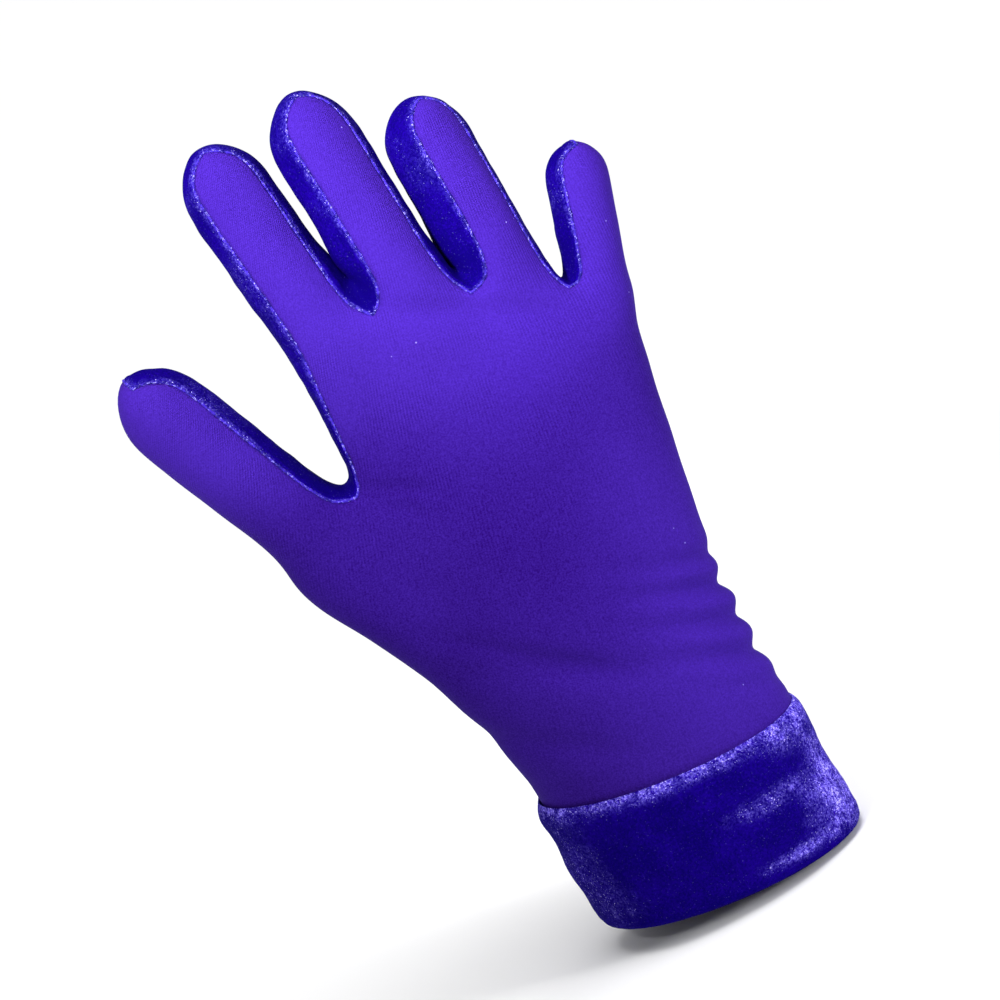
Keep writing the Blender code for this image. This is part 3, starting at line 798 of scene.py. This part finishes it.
def crease(surface):
    """Presses the soft creases of the back into the surface, and lets the cloth be uneven."""
    surface.normal_update()
    moved = {}
    for vertex in surface.verts:
        inward = UNEVEN["height"] * noise.noise(vertex.co / UNEVEN["length"])
        if vertex.normal.y < 0:
            for row in CREASES:
                beside, share = along_line(vertex.co, row["start"], row["end"])
                fade = 1 / (1 + math.exp(-share * CREASE_FADE))
                fade /= 1 + math.exp((share - 1) * CREASE_FADE)
                depth = row["depth"] * fade * min(-2 * vertex.normal.y, 1)
                inward += depth * math.exp(-((beside / row["reach"]) ** 2))
        moved[vertex] = vertex.co - vertex.normal * inward
    move(moved)


def glove_surface(levels):
    """The glove's smooth surface with its folds and creases."""
    surface = subdivided(make_cage(), levels)
    fold(surface)
    crease(surface)
    surface.normal_update()
    surface.verts.index_update()
    return surface


def boundary(surface, labels):
    """For each vertex between faces of these two labels, its neighbours on that line."""
    beside = {}
    for edge in surface.edges:
        found = {f.material_index for f in edge.link_faces}
        if found == set(labels):
            for a, b in (edge.verts, reversed(edge.verts)):
                beside.setdefault(a, []).append(b)
    return beside


def gusset_loop(surface):
    """The gusset's edge as one closed chain of vertices."""
    beside = boundary(surface, (BACK, GUSSET))
    for vertex, others in boundary(surface, (PALM, GUSSET)).items():
        beside.setdefault(vertex, []).extend(others)
    start = next(iter(beside))
    chain = [start, beside[start][0]]
    while True:
        onward = [v for v in beside[chain[-1]] if v is not chain[-2]]
        if onward[0] is start:
            return chain
        chain.append(onward[0])


def even_steps(chain, step):
    """Points and normals at even steps along a closed chain of vertices."""
    places, normals = [], []
    left_over = 0.0
    for here, after in zip(chain, [*chain[1:], chain[0]]):
        length = (after.co - here.co).length
        at = left_over
        while at < length:
            places.append(here.co.lerp(after.co, at / length))
            normals.append(here.normal.lerp(after.normal, at / length).normalized())
            at += step
        left_over = at - length
    return places, normals


class Seam:
    """The gusset's seam: its points at even steps, and how far along it a place is."""

    def __init__(self, surface):
        self.places, self.normals = even_steps(gusset_loop(surface), RIDGE["step"])
        self.tree = search_tree(self.places)

    def nearest(self, point):
        """The distance from the seam, and how far along it."""
        _, index, distance = self.tree.find(point)
        return distance, index * RIDGE["step"]


def search_tree(points):
    """A tree that finds the nearest of these points."""
    tree = kdtree.KDTree(len(points))
    for i, point in enumerate(points):
        tree.insert(point, i)
    tree.balance()
    return tree


def sew_fabric(surface, seam):
    """Gathers the fabric along the gusset's seam, and sinks the seams at the glove's sides."""
    sides = search_tree([v.co.copy() for v in boundary(surface, (BACK, PALM))])
    moved = {}
    for vertex in surface.verts:
        distance, along = seam.nearest(vertex.co)
        wave = math.sin(2 * math.pi * along / PUCKER["pitch"] + 5 * noise.noise(vertex.co * 90))
        lift = PUCKER["height"] * wave * math.exp(-distance / PUCKER["reach"])
        _, _, distance = sides.find(vertex.co)
        lift -= SIDE_SEAM["depth"] * math.exp(-((distance / SIDE_SEAM["reach"]) ** 2))
        moved[vertex] = vertex.co + vertex.normal * lift
    move(moved)


def patch(rows, across, up):
    """The sum of soft oval patches at a place."""
    total = 0.0
    for middle, height, wide, tall, amount in rows:
        beside = (across - middle) / wide
        above = (up - height) / tall
        total += amount * math.exp(-(beside**2) - above**2)
    return total


def roll_velvet(surface, seam):
    """Rolls the gusset's edges up beside the seam, and makes its pile uneven."""
    moved = {}
    for vertex in surface.verts:
        if all(f.material_index != GUSSET for f in vertex.link_faces):
            continue
        distance, _ = seam.nearest(vertex.co)
        edge = (distance - ROLL["place"]) / ROLL["reach"]
        uneven = noise.noise(vertex.co / PILE["length"])
        lift = ROLL["height"] * math.exp(-(edge**2)) * (1 + 0.8 * uneven)
        lift += PILE["height"] * uneven * min(distance / ROLL["place"], 1)
        lift += patch(SWELLS, vertex.co.x, vertex.co.z)
        moved[vertex] = vertex.co + vertex.normal * lift
    move(moved)


def brush_gusset(gusset, seam):
    """Records how the gusset's pile lies, as painted light, in an attribute: above 0 painted sheen
    where it lies to the light, as beside its seam, and below 0 painted shade inside the webs."""
    mesh = gusset.data
    nap_sheen_and_shade = mesh.attributes.new("nap_sheen_and_shade", "FLOAT", "POINT")
    for vertex in mesh.vertices:
        distance, _ = seam.nearest(vertex.co)
        uneven = 1 + 1.2 * noise.noise(vertex.co / GUSSET_SHEEN["fine"])
        patchy = max(noise.noise(vertex.co / GUSSET_SHEEN["broad"]) + 0.15, 0.0)
        at_seam = math.exp(-((distance / GUSSET_SHEEN["reach"]) ** 2))
        painted_sheen = max(GUSSET_SHEEN["seam"] * at_seam * uneven + GUSSET_SHEEN["patch"] * patchy, 0.0)
        painted_shade = patch(WEB_SHADES, vertex.co.x, vertex.co.z) * (1 - at_seam)
        nap_sheen_and_shade.data[vertex.index].value = painted_sheen * (1 - min(painted_shade, 1.0)) - painted_shade


def make_ridge(seam, name, material, collection):
    """A thin uneven tube along the seam, thicker at each stitch."""
    made = bmesh.new()
    rings = []
    count = len(seam.places)
    for i, (place, normal) in enumerate(zip(seam.places, seam.normals)):
        heading = (seam.places[(i + 2) % count] - seam.places[i - 2]).normalized()
        side = heading.cross(normal).normalized()
        along = i * RIDGE["step"]
        stitch = abs(math.sin(math.pi * along / RIDGE["pitch"]))
        radius = RIDGE["radius"] + RIDGE["swing"] * (stitch - 0.5 + noise.noise(place * 1500))
        centre = place + side * (RIDGE["swing"] * noise.noise(place * 400))
        ring = []
        for step in range(RIDGE["sides"]):
            turn = 2 * math.pi * (step + i % 2 / 2) / RIDGE["sides"]
            reach = normal * math.cos(turn) + side * math.sin(turn)
            ring.append(made.verts.new(centre + reach * radius))
        rings.append(ring)
    close_rings(made, rings)
    return finish(made, name, material, collection)


def crush_cuff(cuff):
    """Crushes the outer layer of the cuff, tucks its upper edge against the sleeve, and records
    as an attribute its painted sheen, where its pile lies to the light."""
    left, right, half_depth = sleeve_edges(SLEEVE[0])
    middle, half_width = (left + right) / 2, (right - left) / 2
    mesh = cuff.data
    nap_sheen_and_shade = mesh.attributes.new("nap_sheen_and_shade", "FLOAT", "POINT")
    normals = [v.normal.copy() for v in mesh.vertices]
    for vertex, normal in zip(mesh.vertices, normals):
        point = vertex.co.copy()
        across = (point.x - left) / (right - left)
        up = slanted_back(point) / CUFF_HEIGHT
        outward = Vector(((point.x - middle) / half_width**2, point.y / half_depth**2, 0))
        share = math.hypot((point.x - middle) / half_width, point.y / half_depth)
        outward.normalize()
        outer = share > 1.0
        rough = noise.fractal(point / CRUSH_GRAIN, 0.6, 2.0, 3)
        wave = noise.noise(Vector([place / length for place, length in zip(point, CRUSH_WAVES)]))
        if outer:
            dent = patch(DENTS, across, up)
            hem = HEM["height"] * math.sin(2 * math.pi * up * CUFF_HEIGHT / HEM["pitch"])
            hem *= math.exp(-((up * CUFF_HEIGHT / HEM["reach"]) ** 2)) * min(max(across, 0), 1)
            facing = max(normal.dot(outward), 0.0)
            lift = (CRUSH["fine"] * rough + CRUSH["wave"] * wave - dent + hem) * facing
            tuck = TUCK["depth"] * math.exp(-(((1 - up) / TUCK["reach"]) ** 2))
            vertex.co = point + outward * (lift - tuck)
        # Painted sheen where the pile is brushed to the light, brightest along the upper edge
        shade = patch(CUFF_SHEENS, across, up)
        nap_sheen_and_shade.data[vertex.index].value = max(shade * (1 + 0.6 * rough) - 0.03, 0.0)


def smooth_cuff(name, material, collection):
    """The cuff with finer faces."""
    cuff = make_cuff(name, material, collection)
    mesh = cuff.data
    coarse = bmesh.new()
    coarse.from_mesh(mesh)
    for face in coarse.faces:
        face.smooth = True
    fine = subdivided(coarse, CUFF_LEVELS)
    fine.to_mesh(mesh)
    fine.free()
    return cuff


def finish(mesh_data, name, material, collection):
    """Makes a smooth-shaded object of a built mesh."""
    mesh = bpy.data.meshes.new(name)
    mesh_data.to_mesh(mesh)
    mesh_data.free()
    made = bpy.data.objects.new(name, mesh)
    collection.objects.link(made)
    mesh.materials.append(material)
    mesh.shade_smooth()
    return made


def stretch_and_light(point):
    """How tight the cloth is, with its painted light, from 0 to 1: on the fingers, the knuckles and
    the wrist's bone.
    """
    total = patch(TIGHT_AND_LIT, point.x, point.z)
    share = min(max((point.z - TIGHT_AND_LIT_FROM) / (TIGHT_AND_LIT_TO - TIGHT_AND_LIT_FROM), 0.0), 1.0)
    return min(max(total + share * share * (3 - 2 * share), 0.0), 1.0)


def lay_cloth(piece):
    """Records how tight a fabric panel is, with its painted light, as an attribute, and gives it a
    UV
    map: the place across its ribs and along them."""
    mesh = piece.data
    tight_and_lit = mesh.attributes.new("stretch_and_light", "FLOAT", "POINT")
    for vertex in mesh.vertices:
        tight_and_lit.data[vertex.index].value = stretch_and_light(vertex.co)
    layer = mesh.uv_layers.new(name="cloth")
    places = []
    for vertex in mesh.vertices:
        x, _, z = vertex.co
        normal = vertex.normal
        flat = math.hypot(normal.x, normal.y) or 1.0
        turned = max(-1.0, min(1.0, normal.x / flat))
        round_side = ROUND * (math.asin(turned) - turned)
        across = x + round_side
        rise = z - FAN["height"]
        for _ in range(3):
            lean = math.radians(FAN["lean"] - FAN["spread"] * across)
            across = x + round_side - rise * math.tan(lean)
        places.append((across, z))
    for loop in mesh.loops:
        layer.data[loop.index].uv = places[loop.vertex_index]


class Nodes:
    """Short calls for building a material's nodes."""

    def __init__(self, name):
        self.material = bpy.data.materials.new(name)
        self.material.use_nodes = True
        self.tree = self.material.node_tree
        self.shader = self.tree.nodes["Principled BSDF"]

    def add(self, kind, **settings):
        """A new node of this kind with these settings."""
        node = self.tree.nodes.new("ShaderNode" + kind)
        for key, value in settings.items():
            setattr(node, key, value)
        return node

    def feed(self, socket, value):
        """Links a node's output to a socket, or sets the socket to a value."""
        if isinstance(value, bpy.types.NodeSocket):
            self.tree.links.new(value, socket)
        else:
            socket.default_value = value

    def math(self, operation, *values):
        """One operation on numbers or outputs."""
        node = self.add("Math", operation=operation)
        for socket, value in zip(node.inputs, values):
            self.feed(socket, value)
        return node.outputs[0]

    def noise(self, scale, detail=2.0, roughness=0.5):
        """Noise over the object's own place, with this many features in a metre."""
        node = self.add("TexNoise")
        node.inputs["Scale"].default_value = scale
        node.inputs["Detail"].default_value = detail
        node.inputs["Roughness"].default_value = roughness
        self.feed(node.inputs["Vector"], self.place())
        return node.outputs["Fac"]

    def place(self):
        """The point in the object's own space."""
        return self.add("TexCoord").outputs["Object"]

    def remap(self, value, low, high, to_low=0.0, to_high=1.0):
        """A value taken from one range to another, and held inside it."""
        node = self.add("MapRange")
        for socket, given in zip(node.inputs, (value, low, high, to_low, to_high)):
            self.feed(socket, given)
        return node.outputs["Result"]

    def blend(self, share, first, second):
        """A mix of two colours, all of the second one at a share of 1."""
        node = self.add("Mix", data_type="RGBA")
        self.feed(node.inputs["Factor"], share)
        colours = [s for s in node.inputs if s.type == "RGBA"]
        self.feed(colours[0], first)
        self.feed(colours[1], second)
        return [s for s in node.outputs if s.type == "RGBA"][0]

    def surface(self, values, colour, normal=None):
        """The material, once its shader has these values and its colour and normal."""
        self.feed(self.shader.inputs["Base Color"], colour)
        if normal is not None:
            self.feed(self.shader.inputs["Normal"], normal)
        for name, value in values.items():
            self.shader.inputs[name].default_value = value
        return self.material

    def bump(self, height, distance, strength, below=None):
        """A normal that follows this height, on top of another such normal."""
        node = self.add("Bump")
        self.feed(node.inputs["Height"], height)
        node.inputs["Distance"].default_value = distance
        node.inputs["Strength"].default_value = strength
        if below is not None:
            self.tree.links.new(below, node.inputs["Normal"])
        return node.outputs["Normal"]


def fabric_look():
    """Fine rib knit with faint rows, slow shade changes, paler where tight and where light is
    painted, and a few pale flecks.
    """
    nodes = Nodes("stretch_fabric_look")
    uv = nodes.add("UVMap", uv_map="cloth")
    split = nodes.add("SeparateXYZ")
    nodes.feed(split.inputs[0], uv.outputs[0])
    across, along = split.outputs[0], split.outputs[1]
    wander = nodes.math("MULTIPLY", nodes.math("SUBTRACT", nodes.noise(180.0), 0.5), RIB_WANDER)
    across = nodes.math("ADD", across, wander)
    rib = nodes.math("SINE", nodes.math("MULTIPLY", across, 2 * math.pi / RIB_PITCH))
    loop = nodes.math("ABSOLUTE", rib)
    row_place = nodes.math("ADD", along, nodes.math("MULTIPLY", loop, 0.00022))
    row = nodes.math("SINE", nodes.math("MULTIPLY", row_place, 2 * math.pi / ROW_PITCH))
    knit = nodes.math("ADD", nodes.math("MULTIPLY", rib, 0.65), nodes.math("MULTIPLY", row, 0.35))
    tight_and_lit = nodes.add("Attribute", attribute_name="stretch_and_light").outputs["Fac"]
    patchy = nodes.remap(nodes.noise(95.0, 3.0), 0.38, 0.64, 0.20, 1.0)
    patchy = nodes.math("MULTIPLY", patchy, nodes.remap(along, 0.095, 0.150, 0.20, 1.0))
    knit = nodes.math("MULTIPLY", knit, patchy)
    grain = nodes.noise(2600.0, 2.0)
    slow = nodes.noise(28.0, 2.0)
    ribs = nodes.remap(knit, -1.0, 1.0, -0.24, 0.24)
    shade = nodes.math("ADD", ribs, nodes.remap(grain, 0.3, 0.7, -0.20, 0.20))
    # Paler where the cloth is tight, and painted light: brighter on the fingers, knuckles and wrist
    shade = nodes.math("ADD", shade, nodes.remap(tight_and_lit, 0.0, 1.0, 0.24, 0.70))
    shade = nodes.math("ADD", shade, nodes.remap(slow, 0.35, 0.65, -0.05, 0.05))
    colour = nodes.blend(shade, FABRIC_DEEP, FABRIC_PALE)
    flecks = nodes.add("TexVoronoi")
    flecks.inputs["Scale"].default_value = 130.0
    nodes.feed(flecks.inputs["Vector"], nodes.place())
    fleck = nodes.remap(flecks.outputs["Distance"], 0.030, 0.020)
    colour = nodes.blend(nodes.math("MULTIPLY", fleck, 0.45), colour, FABRIC_FLECK)
    under = nodes.bump(nodes.noise(900.0, 3.0), 0.0002, 0.25)
    return nodes.surface(FABRIC_SHADER, colour, nodes.bump(knit, 0.00012, 0.55, under))


def velvet_look():
    """Dark short pile in fine grains, with painted sheen and more painted glints where it is
    brushed to the light, and painted shade where it is brushed away from it."""
    nodes = Nodes("velvet_look")
    nap_sheen_and_shade = nodes.add("Attribute", attribute_name="nap_sheen_and_shade").outputs["Fac"]
    grain = nodes.noise(1700.0, 2.0, roughness=0.75)
    tuft = nodes.noise(750.0, 3.0, roughness=0.65)
    slow = nodes.noise(110.0, 3.0)
    clump = nodes.remap(nodes.noise(320.0, 3.0, roughness=0.6), 0.38, 0.60, 0.45, 1.35)
    # The pile's painted light: painted sheen above 0, painted shade below 0
    sheen_part, painted_shade = nodes.math("MAXIMUM", nap_sheen_and_shade, 0.0), nodes.math("MINIMUM", nap_sheen_and_shade, 0.0)
    brushed_sheen = nodes.math("MULTIPLY", sheen_part, nodes.remap(tuft, 0.36, 0.62, 0.25, 1.50))
    brushed_sheen = nodes.math("MULTIPLY", brushed_sheen, clump)
    lay = nodes.remap(slow, 0.35, 0.65, 0.04, 0.32)
    lay = nodes.math("ADD", lay, nodes.remap(grain, 0.3, 0.7, -0.30, 0.30))
    # Painted shade inside the webs
    lay = nodes.math("ADD", lay, nodes.math("MULTIPLY", painted_shade, 0.5))
    colour = nodes.blend(lay, VELVET_DEEP, VELVET_BODY)
    # The colour of the painted sheen
    pale = nodes.blend(nodes.remap(grain, 0.42, 0.60), VELVET_SHEEN_DULL, VELVET_SHEEN_BRIGHT)
    colour = nodes.blend(nodes.math("MINIMUM", brushed_sheen, 0.85), colour, pale)
    # Painted glints, more of them where the painted sheen is
    sparkle = nodes.noise(2600.0, 1.0, roughness=0.7)
    edge = nodes.math("SUBTRACT", 0.70, nodes.math("MULTIPLY", brushed_sheen, 0.10))
    glint = nodes.remap(sparkle, edge, nodes.math("ADD", edge, 0.05))
    glint = nodes.math("MULTIPLY", glint, nodes.remap(nap_sheen_and_shade, 0.0, 0.15, 0.08, 0.85))
    colour = nodes.blend(glint, colour, VELVET_GLINT)
    under = nodes.bump(tuft, 0.0004, 0.5)
    return nodes.surface(VELVET_SHADER, colour, nodes.bump(grain, 0.0002, 0.6, under))


def thread_look():
    """The seam's ridge: velvet pile caught in thread, with painted glints."""
    nodes = Nodes("seam_look")
    grain = nodes.noise(1900.0, 2.0, roughness=0.65)
    # Painted glints
    glint = nodes.remap(grain, 0.57, 0.66)
    lay = nodes.remap(nodes.noise(500.0, 2.0), 0.38, 0.62)
    colour = nodes.blend(lay, RIDGE_DEEP, RIDGE_PALE)
    colour = nodes.blend(nodes.math("MULTIPLY", glint, 0.75), colour, RIDGE_GLINT)
    return nodes.surface(RIDGE_SHADER, colour, nodes.bump(grain, 0.0002, 0.5))


def place_camera():
    """The camera at the photo's angle, from above the floor, rolled as the glove is turned."""
    tilt = math.radians(CAMERA_ELEVATION)
    roll = math.radians(CAMERA_ROLL)
    back = Vector((0, -math.cos(tilt), math.sin(tilt)))
    level_up = Vector((0, math.sin(tilt), math.cos(tilt)))
    right = X_AXIS * math.cos(roll) - level_up * math.sin(roll)
    up = X_AXIS * math.sin(roll) + level_up * math.cos(roll)
    data = bpy.data.cameras.new("camera")
    data.sensor_width = SENSOR
    data.lens = SENSOR * CAMERA_DISTANCE / CAMERA_SPAN
    data.clip_start = 0.01
    camera = bpy.data.objects.new("camera", data)
    bpy.context.scene.collection.objects.link(camera)
    turn = Matrix((right, up, back)).transposed().to_4x4()
    centre = Vector(CAMERA_TARGET) + back * CAMERA_DISTANCE
    camera.matrix_world = Matrix.Translation(centre) @ turn
    bpy.context.scene.camera = camera


def place_light(name, kind, place, aim, power, **shape):
    """A light at a place that shines at another place."""
    data = bpy.data.lights.new(name, kind)
    data.energy = power
    for key, value in shape.items():
        setattr(data, key, value)
    light = bpy.data.objects.new(name, data)
    bpy.context.scene.collection.objects.link(light)
    light.location = place
    light.visible_camera = False
    light.rotation_euler = (Vector(aim) - Vector(place)).to_track_quat("-Z", "Y").to_euler()


def make_stage(height):
    """A wide pale floor under a pale sky, with soft studio light from above and in front."""
    made = bmesh.new()
    bmesh.ops.create_circle(made, cap_ends=True, segments=96, radius=FLOOR_RADIUS)
    pale = Nodes("floor_look").surface(FLOOR_SHADER, FLOOR_COLOUR)
    floor = finish(made, "floor", pale, bpy.context.scene.collection)
    floor.location.z = height
    world = bpy.data.worlds.new("studio")
    bpy.context.scene.world = world
    world.use_nodes = True
    sky = world.node_tree.nodes["Background"]
    sky.inputs["Color"].default_value = (1.0, 1.0, 1.0, 1.0)
    sky.inputs["Strength"].default_value = SKY_STRENGTH
    place_light("sun", "SUN", (0.3, -0.3, 2.6), (0.0, 0.0, 0.1), 2.55, angle=math.radians(40))
    place_light(
        "key", "AREA", (-0.24, -0.43, 0.48), (0.018, 0.0, 0.205), 0.27, shape="DISK", size=0.12,
        spread=math.radians(32),
    )
    place_light(
        "fill", "AREA", (0.50, -0.36, 0.20), (0.030, 0.0, 0.060), 0.12, shape="DISK", size=0.20,
        spread=math.radians(30),
    )


place_camera()
bpy.context.scene.view_settings.view_transform = "Standard"

glove = bpy.data.collections.new("skating_glove_looks")
bpy.context.scene.collection.children.link(glove)
fabric, velvet, thread = fabric_look(), velvet_look(), thread_look()

fine_surface = glove_surface(VELVET_LEVELS)
seam = Seam(fine_surface)
roll_velvet(fine_surface, seam)
gusset = panel(fine_surface, GUSSET, "velvet_gusset", VELVET_WALL, velvet, glove)
brush_gusset(gusset, seam)
fine_surface.free()

surface = glove_surface(FABRIC_LEVELS)
sew_fabric(surface, seam)
back = panel(surface, BACK, "fabric_back", FABRIC_WALL, fabric, glove)
palm = panel(surface, PALM, "fabric_palm", FABRIC_WALL, fabric, glove)
surface.free()
for piece in (back, palm):
    lay_cloth(piece)

ridge = make_ridge(seam, "gusset_seam", thread, glove)
cuff = smooth_cuff("velvet_cuff", velvet, glove)
crush_cuff(cuff)

replaced = {"back_panel": back, "palm_panel": palm, "finger_gusset": gusset, "cuff": cuff}
for node, piece in replaced.items():
    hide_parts(node)
for piece in (back, palm, gusset, ridge, cuff):
    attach(piece, "root")

make_stage(cad_box[0][2] - 0.0005)
